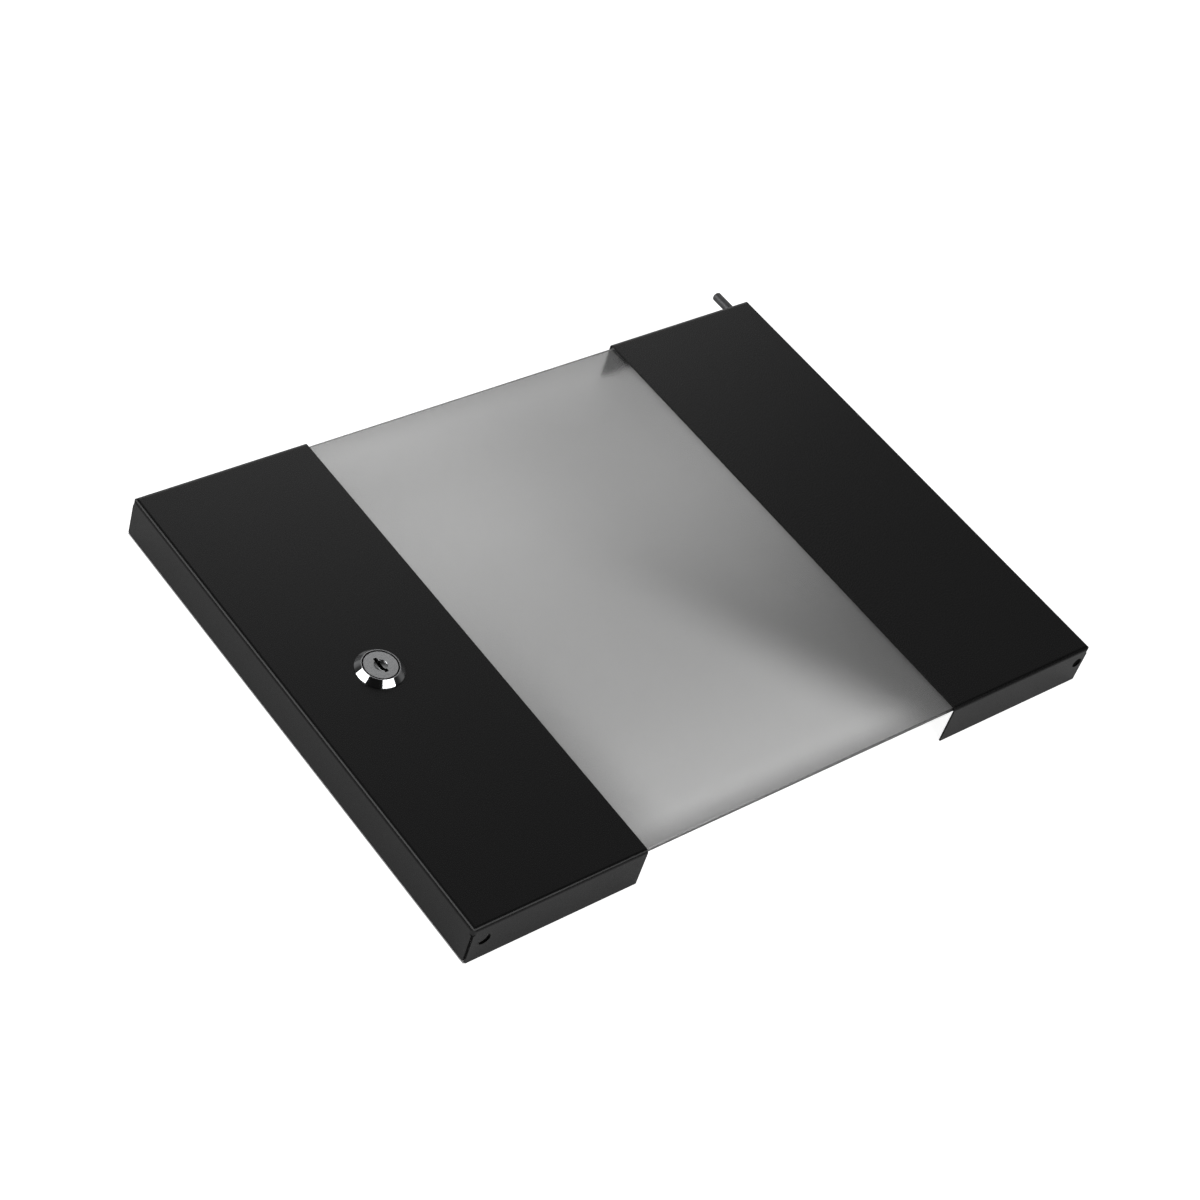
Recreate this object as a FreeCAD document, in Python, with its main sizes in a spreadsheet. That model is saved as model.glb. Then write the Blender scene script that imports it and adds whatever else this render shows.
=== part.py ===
import FreeCAD, Part
import math
import os
import types

import Sketcher
from FreeCAD import Vector

# Lockable front door of a small wall rack cabinet, lying on its back with the front face up.
# The origin is on the hinge axis, in the mouth of the lower hinge hole. +X points to the hinge side,
# +Y up along the hinge axis of the hung door and +Z out of the front face. Millimetres.

SIZES = {
    # the door
    "door_width": 300.0,
    "door_height": 217.0,
    "long_flange_depth": 17.3,
    "end_flange_depth": 18.4,
    # the two folded stiles
    "stile_width": 75.0,
    "sheet": 0.7,
    "bend_radius": 1.6,
    "long_flange_gap": 0.05,
    "end_flange_gap": 0.05,
    "corner_land": 1.6,
    "corner_radius": 1.8,
    "flange_corner_radius": 0.4,
    # the half-pierced knock-out in the lock stile's end flanges
    "knockout_side": 6.3,
    "knockout_depth": 8.0,
    "knockout_diameter": 5.2,
    "slug_diameter": 6.4,
    "slug_shift": 3.2,
    # the pane and the tapes that bond it
    "pane_thickness": 2.0,
    "pane_overlap": 20.0,
    "pane_end_gap": 0.7,
    "pane_edge_break": 0.3,
    "tape_thickness": 0.5,
    "tape_width": 16.0,
    "tape_margin": 1.5,
    # the lock
    "lock_side": 36.1,
    "lock_height": 109.0,
    "bezel_overhang": 1.4,
    "bezel_face_band": 0.4,
    "bezel_height": 2.5,
    "bezel_rim": 0.35,
    "bezel_edge_break": 0.05,
    "body_diameter": 15.6,
    "body_flat_cut": 1.0,
    "body_length": 9.0,
    "body_clearance": 0.15,
    "plug_face_inset": 1.4,
    "plug_face_gap": 0.35,
    "plug_face_depth": 2.5,
    "plug_edge_break": 0.1,
    "housing_wall": 2.7,
    "plug_gap": 0.1,
    "keyway_length": 7.2,
    "keyway_middle": 4.4,
    "keyway_width": 1.5,
    "keyway_jog": 0.3,
    "keyway_depth": 7.0,
    "dimple_ball_radius": 4.2,
    "dimple_depth": 0.9,
    "tail_width": 6.0,
    "tail_gap": 0.05,
    "tail_setback": 0.3,
    "washer_thickness": 0.8,
    "washer_band": 1.85,
    "washer_tooth_depth": 1.0,
    "washer_notch_width": 2.2,
    "nut_wall": 2.05,
    "nut_thickness": 2.6,
    "nut_chamfer": 0.6,
    "stop_thickness": 1.0,
    "stop_land": 1.2,
    "stop_lug_width": 3.0,
    "stop_lug_inset": 0.4,
    "stop_gap": 0.1,
    "cam_thickness": 2.0,
    "cam_width": 15.0,
    "cam_reach": 29.0,
    "cam_corner_radius": 2.5,
    "screw_diameter": 4.0,
    "screw_gap": 0.05,
    "screw_length": 5.0,
    "screw_head_diameter": 7.4,
    "screw_head_height": 2.4,
    "screw_head_round": 0.9,
    "screw_cross_length": 4.2,
    "screw_cross_width": 0.9,
    "screw_cross_depth": 1.4,
    "split_thickness": 0.9,
    "split_diameter": 7.2,
    "split_slit": 0.8,
    # the sprung hinge pin
    "hinge_side": 4.3,
    "hinge_depth": 7.3,
    "pin_diameter": 4.4,
    "pin_gap": 0.05,
    "nose_diameter": 4.0,
    "nose_reach": 13.4,
    "nose_round": 0.9,
    "nose_shoulder": 0.2,
    "collar_diameter": 5.8,
    "collar_width": 1.0,
    "collar_gap": 0.3,
    "spring_length": 24.0,
    "spring_wire": 0.4,
    "spring_gap": 0.1,
    "bracket_sheet": 1.5,
    "bracket_width": 13.0,
    "bracket_foot": 12.0,
    "bracket_drop": 11.0,
    "bracket_bend_radius": 2.1,
    "bracket_corner_radius": 3.0,
    "bracket_side_gap": 0.2,
    "lever_drop": 11.0,
    "lever_bend_radius": 5.0,
    "lever_reach": 18.0,
    "lever_end_round": 0.8,
}
WASHER_TEETH = 12
SPRING_TURNS = 10
FULL_TURN = 360
LEVER_BEND_DEG = 90
KNOCKOUT_LEAN_DEG = 125
HEXAGON_HALF_ANGLE_DEG = 30
SAME_PLACE = 0.001
FIRST_QUARTER = {(-1, -1): 0, (1, -1): 1, (1, 1): 2, (-1, 1): 3}


class Size:
    """A length that carries its value and the sheet expression that gives it."""

    def __init__(self, value, text):
        self.value = value
        self.text = text

    def __add__(self, other):
        other = as_size(other)
        return Size(self.value + other.value, f"({self.text} + {other.text})")

    def __radd__(self, other):
        return as_size(other) + self

    def __sub__(self, other):
        other = as_size(other)
        return Size(self.value - other.value, f"({self.text} - {other.text})")

    def __rsub__(self, other):
        return as_size(other) - self

    def __mul__(self, factor):
        return Size(self.value * factor, f"({self.text} * {factor})")

    __rmul__ = __mul__

    def __truediv__(self, divisor):
        return Size(self.value / divisor, f"({self.text} / {divisor})")

    def __neg__(self):
        return self * -1


def as_size(number):
    """A plain number as a Size, and a Size as it is."""
    return number if isinstance(number, Size) else Size(number, str(number))


doc = FreeCAD.newDocument("rack_cabinet_door")
sheet = doc.addObject("Spreadsheet::Sheet", "Sizes")
for row, (alias, number) in enumerate(SIZES.items(), 1):
    sheet.set(f"A{row}", alias)
    sheet.set(f"B{row}", str(number))
    sheet.setAlias(f"B{row}", alias)
doc.recompute()
size = types.SimpleNamespace(**{name: Size(number, f"Sizes.{name}") for name, number in SIZES.items()})

NODES = []


def bind(thing, path, length):
    """Ties one property of a document object to the sheet."""
    thing.setExpression(path, as_size(length).text)


def place(thing, x, y, z):
    """Ties a sub-part's place in the door to the sheet."""
    for axis, length in zip("xyz", (x, y, z)):
        bind(thing, f"Placement.Base.{axis}", length)


def new_body(label, x, y, z):
    """An empty body that becomes the sub-part of this name."""
    body = doc.addObject("PartDesign::Body", label)
    body.Label = label
    place(body, x, y, z)
    NODES.append(body)
    return body


def new_sketch(body, name, plane, offset=0):
    """A sketch on one of the body's own origin planes, moved along the plane's normal."""
    sketch = body.newObject("Sketcher::SketchObject", name)
    support = [feature for feature in body.Origin.OriginFeatures if feature.Role == plane]
    sketch.AttachmentSupport = [(support[0], "")]
    sketch.MapMode = "FlatFace"
    bind(sketch, "AttachmentOffset.Base.z", offset)
    return sketch


def hold(sketch, curve, point, x, y):
    """Holds one point of a sketch curve at signed distances from the sketch's origin."""
    for kind, axis, length in (("DistanceX", -2, as_size(x)), ("DistanceY", -1, as_size(y))):
        if length.text in ("0", "(0 * -1)"):
            sketch.addConstraint(Sketcher.Constraint("PointOnObject", curve, point, axis))
            continue
        rule = sketch.addConstraint(Sketcher.Constraint(kind, -1, 1, curve, point, length.value))
        name = f"{kind}_{curve}_{point}"
        sketch.renameConstraint(rule, name)
        bind(sketch, f"Constraints.{name}", length)


def hold_radius(sketch, curve, radius):
    """Ties the radius of a circle or arc to the sheet."""
    rule = sketch.addConstraint(Sketcher.Constraint("Radius", curve, radius.value))
    name = f"Radius_{curve}"
    sketch.renameConstraint(rule, name)
    bind(sketch, f"Constraints.{name}", radius)


def draw_outline(sketch, corners):
    """A closed outline of straight lines through the given corners."""
    spots = [Vector(as_size(x).value, as_size(y).value, 0) for x, y in corners]
    first = sketch.GeometryCount
    lines = range(first, first + len(spots))
    following = [*lines[1:], first]
    for start, end in zip(spots, spots[1:] + spots[:1]):
        sketch.addGeometry(Part.LineSegment(start, end))
    for line, after in zip(lines, following):
        sketch.addConstraint(Sketcher.Constraint("Coincident", line, 2, after, 1))
    for line, (x, y) in zip(lines, corners):
        hold(sketch, line, 1, x, y)


def draw_box(sketch, left, right, low, high):
    """A closed rectangle between two signed distances each way."""
    draw_outline(sketch, [(left, low), (right, low), (right, high), (left, high)])


def draw_circle(sketch, x, y, diameter):
    """A circle of the given diameter."""
    centre = Vector(as_size(x).value, as_size(y).value, 0)
    curve = sketch.addGeometry(Part.Circle(centre, Vector(0, 0, 1), diameter.value / 2))
    hold(sketch, curve, 3, x, y)
    hold_radius(sketch, curve, diameter / 2)


def draw_arc(sketch, x, y, radius, start, end):
    """An arc about a held centre, from one angle to another in radians. Its ends stay free."""
    circle = Part.Circle(Vector(as_size(x).value, as_size(y).value, 0), Vector(0, 0, 1), radius.value)
    curve = sketch.addGeometry(Part.ArcOfCircle(circle, start, end))
    hold(sketch, curve, 3, x, y)
    hold_radius(sketch, curve, radius)
    return curve


def draw_flatted_circle(sketch, x, y, radius, half_flats):
    """A circle cut by two upright flats, the hole that keeps a flatted body from turning."""
    lean = math.acos(half_flats.value / radius.value)
    top = draw_arc(sketch, x, y, radius, lean, math.pi - lean)
    low = draw_arc(sketch, x, y, radius, math.pi + lean, 2 * math.pi - lean)
    middle = as_size(y).value
    rise = radius.value * math.sin(lean)
    for side, top_end, low_end in ((1, 1, 2), (-1, 2, 1)):
        across = as_size(x).value + side * half_flats.value
        spots = Vector(across, middle - rise, 0), Vector(across, middle + rise, 0)
        line = sketch.addGeometry(Part.LineSegment(*spots))
        sketch.addConstraint(Sketcher.Constraint("Coincident", line, 2, top, top_end))
        sketch.addConstraint(Sketcher.Constraint("Coincident", line, 1, low, low_end))
        sketch.addConstraint(Sketcher.Constraint("Vertical", line))
        rule = sketch.addConstraint(Sketcher.Constraint("DistanceX", -1, 1, line, 1, across))
        name = f"Flat_{line}"
        sketch.renameConstraint(rule, name)
        bind(sketch, f"Constraints.{name}", x + side * half_flats)


def add_pad(body, sketch, length, backward=False):
    """Raises a sketch into material, along its normal or against it."""
    pad = body.newObject("PartDesign::Pad", f"{sketch.Name}_pad")
    pad.Profile = sketch
    pad.Reversed = backward
    bind(pad, "Length", length)
    doc.recompute()
    return pad


def add_pocket(body, sketch, depth=None, backward=False):
    """Cuts a sketch out of the body, against its normal or along it, to a depth or right through."""
    before = body.Shape.Volume
    pocket = body.newObject("PartDesign::Pocket", f"{sketch.Name}_pocket")
    pocket.Profile = sketch
    pocket.Reversed = backward
    if depth is None:
        pocket.Type = "ThroughAll"
    else:
        bind(pocket, "Length", depth)
    doc.recompute()
    if not body.Shape.Volume < before:
        raise ValueError(f"{pocket.Name} cuts nothing")
    return pocket


def add_turning(body, sketch):
    """Turns a half section about the sketch's upright axis."""
    turning = body.newObject("PartDesign::Revolution", f"{sketch.Name}_turning")
    turning.Profile = sketch
    turning.ReferenceAxis = (sketch, ["V_Axis"])
    turning.Angle = FULL_TURN
    doc.recompute()
    return turning


def add_turned_cut(body, sketch):
    """Cuts a half section away all round the sketch's upright axis."""
    before = body.Shape.Volume
    cut = body.newObject("PartDesign::Groove", f"{sketch.Name}_cut")
    cut.Profile = sketch
    cut.ReferenceAxis = (sketch, ["V_Axis"])
    cut.Angle = FULL_TURN
    doc.recompute()
    if not body.Shape.Volume < before:
        raise ValueError(f"{cut.Name} cuts nothing")
    return cut


def edges_where(body, test):
    """The names of the body's edges whose middle passes a test, in the body's own frame."""
    shape = body.Tip.Shape
    middles = [edge.valueAt((edge.FirstParameter + edge.LastParameter) / 2) for edge in shape.Edges]
    return [f"Edge{number}" for number, middle in enumerate(middles, 1) if test(middle)]


def add_dress(body, kind, name, test, length):
    """Rounds or breaks the edges that pass a test, as a Fillet or a Chamfer."""
    edges = edges_where(body, test)
    if not edges:
        raise ValueError(f"{name} finds no edge")
    base = body.Tip
    dress = body.newObject(f"PartDesign::{kind}", name)
    dress.Base = (base, edges)
    bind(dress, "Radius" if kind == "Fillet" else "Size", length)
    doc.recompute()
    return dress


def near(number, length):
    """Whether a coordinate lies at a length."""
    return abs(number - as_size(length).value) < SAME_PLACE


# Places that several sub-parts share

front = size.hinge_depth
plate_back = front - size.sheet
lock_face = size.hinge_side - size.door_width
lock_x = lock_face + size.lock_side
lock_y = size.lock_height
long_flange_end = size.sheet + size.long_flange_gap
end_flange_start = size.sheet + size.end_flange_gap
flange_inside = size.door_height - size.sheet
bracket_seat = flange_inside - size.collar_gap - size.collar_width - size.spring_length
pin_bore = size.pin_diameter + 2 * size.pin_gap
body_radius = size.body_diameter / 2
half_flats = body_radius - size.body_flat_cut
body_hole = size.body_diameter + 2 * size.body_clearance
plug_radius = body_radius - size.housing_wall - size.plug_gap
plug_face_radius = body_radius - size.plug_face_inset
plug_rear = -size.body_length
stop_rear = plug_rear - size.stop_thickness
cam_rear = stop_rear - size.cam_thickness
split_rear = cam_rear - size.split_thickness


def draw_corner_waste(sketch, x, y, to_x, to_y, radius):
    """What a rounding takes off a corner at x, y. to_x and to_y, +1 or -1, point into the material."""
    across_x = x + to_x * radius
    up_y = y + to_y * radius
    corner = Vector(as_size(x).value, as_size(y).value, 0)
    on_across = Vector(across_x.value, corner.y, 0)
    on_up = Vector(corner.x, up_y.value, 0)
    across = sketch.addGeometry(Part.LineSegment(on_across, corner))
    up = sketch.addGeometry(Part.LineSegment(corner, on_up))
    circle = Part.Circle(Vector(on_across.x, on_up.y, 0), Vector(0, 0, 1), radius.value)
    quarter = math.pi / 2
    first = quarter * FIRST_QUARTER[to_x, to_y]
    arc = sketch.addGeometry(Part.ArcOfCircle(circle, first, first + quarter))
    across_end, up_end = (1, 2) if to_x != to_y else (2, 1)
    sketch.addConstraint(Sketcher.Constraint("Coincident", across, 2, up, 1))
    sketch.addConstraint(Sketcher.Constraint("Coincident", across, 1, arc, across_end))
    sketch.addConstraint(Sketcher.Constraint("Coincident", up, 2, arc, up_end))
    hold(sketch, across, 1, across_x, y)
    hold(sketch, up, 1, x, y)
    hold(sketch, up, 2, x, up_y)
    hold_radius(sketch, arc, radius)


def folded_stile(label, x, inward):
    """One sheet folded back along its outer edge and both ends, open at the corners. inward is +1 or -1."""
    body = new_body(label, x, 0, front)
    inner = inward * size.stile_width
    top = size.door_height
    blank = new_sketch(body, f"{label}_blank", "XY_Plane")
    draw_box(blank, 0, inner, 0, top)
    rim = -size.end_flange_depth
    add_pad(body, blank, size.end_flange_depth, backward=True)

    side_bend = new_sketch(body, f"{label}_side_bend", "XZ_Plane")
    draw_corner_waste(side_bend, 0, 0, inward, -1, size.bend_radius)
    add_pocket(body, side_bend)
    end_bends = new_sketch(body, f"{label}_end_bends", "YZ_Plane")
    draw_corner_waste(end_bends, 0, 0, 1, -1, size.bend_radius)
    draw_corner_waste(end_bends, top, 0, -1, -1, size.bend_radius)
    add_pocket(body, end_bends, backward=inward > 0)
    corner_rounds = new_sketch(body, f"{label}_corner_rounds", "XY_Plane")
    draw_corner_waste(corner_rounds, 0, 0, inward, 1, size.corner_radius)
    draw_corner_waste(corner_rounds, 0, top, inward, -1, size.corner_radius)
    add_pocket(body, corner_rounds, size.bend_radius + size.corner_land)

    hollow = new_sketch(body, f"{label}_hollow", "XY_Plane", rim)
    past_edge = inner + inward * size.sheet
    draw_box(hollow, inward * size.sheet, past_edge, size.sheet, top - size.sheet)
    add_pocket(body, hollow, size.end_flange_depth - size.sheet, backward=True)

    def on_inner_bend(spot):
        at_fold = near(spot.x, inward * size.sheet) or near(spot.y, size.sheet) or near(spot.y, flange_inside)
        return near(spot.z, -size.sheet) and at_fold

    add_dress(body, "Fillet", f"{label}_inner_bends", on_inner_bend, size.bend_radius - size.sheet)

    # the three flanges stop short of the corners, up to the land under the bends
    notches = new_sketch(body, f"{label}_notches", "XY_Plane", rim)
    end_start = inward * end_flange_start
    for low, high in ((0, long_flange_end), (top - long_flange_end, top)):
        draw_box(notches, 0, end_start, low, high)
    notch_height = size.end_flange_depth - size.bend_radius - size.corner_land
    add_pocket(body, notches, notch_height, backward=True)

    # the long flange is a little shallower than the ends
    long_rim = -size.long_flange_depth
    trim = new_sketch(body, f"{label}_long_rim", "XZ_Plane")
    draw_box(trim, 0, inward * size.sheet, rim, long_rim)
    add_pocket(body, trim)

    def on_flange_corner(spot):
        at_long_end = near(spot.y, long_flange_end) or near(spot.y, top - long_flange_end)
        on_long_flange = near(spot.z, long_rim) and at_long_end
        return on_long_flange or (near(spot.z, rim) and near(spot.x, end_start))

    add_dress(body, "Fillet", f"{label}_corners", on_flange_corner, size.flange_corner_radius)
    return body


def lock_stile():
    """The left stile: the lock's flatted hole in the plate, a knock-out left in each end flange."""
    body = folded_stile("lock_stile", lock_face, 1)
    hole = new_sketch(body, "lock_hole", "XY_Plane")
    draw_flatted_circle(hole, size.lock_side, lock_y, body_hole / 2, half_flats + size.body_clearance)
    add_pocket(body, hole, size.sheet)

    # the slug is sheared round its lower inner side and still hangs on the sheet at the other
    crescent = new_sketch(body, "knockout", "XZ_Plane")
    hole_radius = size.knockout_diameter / 2
    slug_radius = size.slug_diameter / 2
    gap = size.slug_shift.value
    along = (hole_radius.value**2 - slug_radius.value**2 + gap**2) / (2 * gap)
    spread = math.acos(along / hole_radius.value)
    slug_spread = math.acos((along - gap) / slug_radius.value)
    away = math.radians(KNOCKOUT_LEAN_DEG)
    x = size.knockout_side
    y = -size.knockout_depth
    slug_x = x + size.slug_shift * math.cos(away)
    slug_y = y + size.slug_shift * math.sin(away)
    round_again = away + 2 * math.pi
    wide = draw_arc(crescent, x, y, hole_radius, away + spread, round_again - spread)
    slug = draw_arc(crescent, slug_x, slug_y, slug_radius, away + slug_spread, round_again - slug_spread)
    crescent.addConstraint(Sketcher.Constraint("Coincident", wide, 1, slug, 1))
    crescent.addConstraint(Sketcher.Constraint("Coincident", wide, 2, slug, 2))
    add_pocket(body, crescent)


def hinge_stile():
    """The right stile: a hinge hole in each end flange, on one axis."""
    body = folded_stile("hinge_stile", size.hinge_side, -1)
    holes = new_sketch(body, "hinge_holes", "XZ_Plane")
    draw_circle(holes, -size.hinge_side, -size.hinge_depth, pin_bore)
    add_pocket(body, holes)


def glass_pane():
    """The flat pane behind both plates and between the end flanges, with its edges broken."""
    left = lock_face + size.stile_width - size.pane_overlap
    low = size.sheet + size.pane_end_gap
    body = new_body("glass_pane", left, low, plate_back - size.tape_thickness)
    pane = new_sketch(body, "pane", "XY_Plane")
    width = size.door_width - 2 * (size.stile_width - size.pane_overlap)
    draw_box(pane, 0, width, 0, size.door_height - 2 * low)
    add_pad(body, pane, size.pane_thickness, backward=True)

    def on_face_edge(spot):
        return near(spot.z, 0) or near(spot.z, -size.pane_thickness)

    add_dress(body, "Chamfer", "pane_edges", on_face_edge, size.pane_edge_break)


def tape(label, x):
    """A strip of double-sided tape between a plate and the pane."""
    strip = doc.addObject("Part::Box", label)
    strip.Label = label
    low = size.sheet + size.pane_end_gap + size.tape_margin
    bind(strip, "Length", size.tape_width)
    bind(strip, "Width", size.door_height - 2 * low)
    bind(strip, "Height", size.tape_thickness)
    place(strip, x, low, plate_back - size.tape_thickness)
    NODES.append(strip)


def lock_housing():
    """The die-cast body: a bevelled bezel in front of the plate, a flatted threaded barrel behind it."""
    body = new_body("lock_housing", lock_x, lock_y, front)
    section = new_sketch(body, "housing_section", "XZ_Plane")
    recess_floor = size.bezel_height - size.plug_face_depth
    recess = plug_face_radius + size.plug_face_gap
    bore = plug_radius + size.plug_gap
    bezel_radius = body_radius + size.bezel_overhang
    draw_outline(
        section,
        [
            (bore, plug_rear),
            (body_radius, plug_rear),
            (body_radius, 0),
            (bezel_radius, 0),
            (bezel_radius, size.bezel_rim),
            (recess + size.bezel_face_band, size.bezel_height),
            (recess + size.bezel_edge_break, size.bezel_height),
            (recess, size.bezel_height - size.bezel_edge_break),
            (recess, recess_floor),
            (bore, recess_floor),
        ],
    )
    add_turning(body, section)

    # the crown at the rear, open over the quarter turn of the stop washer's lug and just clear of the cam
    crown = new_sketch(body, "stop_crown", "XY_Plane", plug_rear)
    land = plug_radius + size.stop_land
    draw_circle(crown, 0, 0, size.body_diameter)
    draw_circle(crown, 0, 0, 2 * land)
    add_pad(body, crown, size.stop_thickness - size.tail_gap, backward=True)
    sweep = new_sketch(body, "lug_sweep", "XY_Plane", stop_rear)
    stop = -(size.stop_lug_width / 2 + size.stop_gap)
    draw_box(sweep, stop, size.body_diameter, stop, size.body_diameter)
    add_pocket(body, sweep, size.stop_thickness, backward=True)

    flats = new_sketch(body, "housing_flats", "XY_Plane")
    for side in (-1, 1):
        far_side = side * size.body_diameter
        draw_box(flats, side * half_flats, far_side, -size.body_diameter, size.body_diameter)
    add_pocket(body, flats)


def lock_plug():
    """The turning core: a round face with the key slot, a barrel, and a square tail with a screw hole."""
    body = new_body("lock_plug", lock_x, lock_y, front)
    section = new_sketch(body, "plug_section", "XZ_Plane")
    face = size.bezel_height - size.plug_gap
    shoulder = size.bezel_height - size.plug_face_depth + size.plug_gap
    draw_outline(
        section,
        [
            (0, plug_rear - size.tail_gap),
            (plug_radius, plug_rear - size.tail_gap),
            (plug_radius, shoulder),
            (plug_face_radius, shoulder),
            (plug_face_radius, face - size.plug_edge_break),
            (plug_face_radius - size.plug_edge_break, face),
            (0, face),
        ],
    )
    add_turning(body, section)

    # the hollow that guides the key, pressed by a ball
    dimple = new_sketch(body, "key_dimple", "XZ_Plane")
    ball = size.dimple_ball_radius
    ball_height = face - size.dimple_depth + ball
    arc = draw_arc(dimple, 0, ball_height, ball, -math.pi / 2, math.pi / 2)
    ends = [Vector(0, ball_height.value + side * ball.value, 0) for side in (1, -1)]
    axis = dimple.addGeometry(Part.LineSegment(*ends))
    dimple.addConstraint(Sketcher.Constraint("Coincident", arc, 2, axis, 1))
    dimple.addConstraint(Sketcher.Constraint("Coincident", axis, 2, arc, 1))
    dimple.addConstraint(Sketcher.Constraint("PointOnObject", axis, 1, -2))
    dimple.addConstraint(Sketcher.Constraint("PointOnObject", axis, 2, -2))
    add_turned_cut(body, dimple)

    tail = new_sketch(body, "plug_tail", "XY_Plane", plug_rear - size.tail_gap)
    half = size.tail_width / 2
    draw_box(tail, -half, half, -half, half)
    add_pad(body, tail, size.stop_thickness + size.cam_thickness - size.tail_setback, backward=True)

    # the key slot steps to one side at its top and to the other at its foot
    keyway = new_sketch(body, "keyway", "XY_Plane", face)
    wide = size.keyway_width / 2
    long = size.keyway_length / 2
    middle = size.keyway_middle / 2
    jog = size.keyway_jog
    draw_outline(
        keyway,
        [
            (jog - wide, -long),
            (jog + wide, -long),
            (jog + wide, -middle),
            (wide, -middle),
            (wide, middle),
            (wide - jog, middle),
            (wide - jog, long),
            (-wide - jog, long),
            (-wide - jog, middle),
            (-wide, middle),
            (-wide, -middle),
            (jog - wide, -middle),
        ],
    )
    add_pocket(body, keyway, size.keyway_depth)

    thread = new_sketch(body, "plug_thread", "XY_Plane", cam_rear)
    draw_circle(thread, 0, 0, size.screw_diameter + 2 * size.screw_gap)
    add_pocket(body, thread, size.screw_length, backward=True)


def lock_washer():
    """The toothed washer under the nut, a ring with notches all round its rim."""
    body = new_body("lock_washer", lock_x, lock_y, plate_back)
    ring = new_sketch(body, "washer_ring", "XY_Plane")
    rim = body_hole / 2 + size.washer_band
    draw_circle(ring, 0, 0, 2 * rim)
    draw_circle(ring, 0, 0, body_hole)
    add_pad(body, ring, size.washer_thickness, backward=True)
    notch = new_sketch(body, "washer_notch", "XY_Plane")
    half = size.washer_notch_width / 2
    draw_box(notch, rim - size.washer_tooth_depth, rim + size.washer_tooth_depth, -half, half)
    cut = add_pocket(body, notch)
    teeth = body.newObject("PartDesign::PolarPattern", "washer_teeth")
    teeth.Originals = [cut]
    teeth.Axis = (notch, ["N_Axis"])
    teeth.Angle = FULL_TURN
    teeth.Occurrences = WASHER_TEETH
    body.Tip = teeth
    doc.recompute()


def lock_nut():
    """The thin hexagon nut that clamps the lock to the plate."""
    body = new_body("lock_nut", lock_x, lock_y, plate_back - size.washer_thickness)
    hexagon = new_sketch(body, "nut_hexagon", "XY_Plane")
    half = body_hole / 2 + size.nut_wall
    tip = half / math.cos(math.radians(HEXAGON_HALF_ANGLE_DEG))
    wide = tip / 2
    draw_outline(hexagon, [(wide, half), (-wide, half), (-tip, 0), (-wide, -half), (wide, -half), (tip, 0)])
    draw_circle(hexagon, 0, 0, body_hole)
    add_pad(body, hexagon, size.nut_thickness, backward=True)

    # the chamfer that trims the six corners of the rear face
    trim = new_sketch(body, "nut_trim", "XZ_Plane")
    rear = -size.nut_thickness
    draw_outline(trim, [(half, rear), (tip, rear), (tip, rear + size.nut_chamfer)])
    add_turned_cut(body, trim)


def stop_washer():
    """The disc on the square tail whose lug runs from one end of the housing's crown to the other."""
    body = new_body("stop_washer", lock_x, lock_y, front + plug_rear - size.tail_gap)
    disc = new_sketch(body, "stop_disc", "XY_Plane")
    draw_circle(disc, 0, 0, 2 * (plug_radius + size.stop_land - size.stop_gap))
    add_pad(body, disc, size.stop_thickness - size.tail_gap, backward=True)
    lug = new_sketch(body, "stop_lug", "XY_Plane")
    half = size.stop_lug_width / 2
    draw_box(lug, 0, body_radius - size.stop_lug_inset, -half, half)
    add_pad(body, lug, size.stop_thickness - size.tail_gap, backward=True)
    square_hole(body, "stop_square")


def square_hole(body, name):
    """The square hole that takes the core's tail."""
    square = new_sketch(body, name, "XY_Plane")
    half = size.tail_width / 2 + size.tail_gap
    draw_box(square, -half, half, -half, half)
    add_pocket(body, square)


def lock_cam():
    """The flat tongue, round about the lock's axis and blunt at its tip."""
    body = new_body("lock_cam", lock_x, lock_y, front + stop_rear)
    boss = new_sketch(body, "cam_boss", "XY_Plane")
    draw_circle(boss, 0, 0, size.cam_width)
    add_pad(body, boss, size.cam_thickness, backward=True)
    tongue = new_sketch(body, "cam_tongue", "XY_Plane")
    half = size.cam_width / 2
    draw_box(tongue, -size.cam_reach, 0, -half, half)
    add_pad(body, tongue, size.cam_thickness, backward=True)

    def on_tip_corner(spot):
        return near(spot.x, -size.cam_reach) and not near(spot.y, 0)

    def on_upright_tip_corner(spot):
        return on_tip_corner(spot) and near(spot.z, -size.cam_thickness / 2)

    add_dress(body, "Fillet", "cam_corners", on_upright_tip_corner, size.cam_corner_radius)
    square_hole(body, "cam_square")


def cam_spring_washer():
    """The split ring under the cam screw's head, pressed flat."""
    body = new_body("cam_spring_washer", lock_x, lock_y, front + cam_rear)
    ring = new_sketch(body, "split_ring", "XY_Plane")
    draw_circle(ring, 0, 0, size.split_diameter)
    draw_circle(ring, 0, 0, size.screw_diameter + 2 * size.screw_gap)
    add_pad(body, ring, size.split_thickness, backward=True)
    slit = new_sketch(body, "split_slit", "XY_Plane")
    draw_box(slit, 0, size.split_diameter, -size.split_slit / 2, size.split_slit / 2)
    add_pocket(body, slit)


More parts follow.
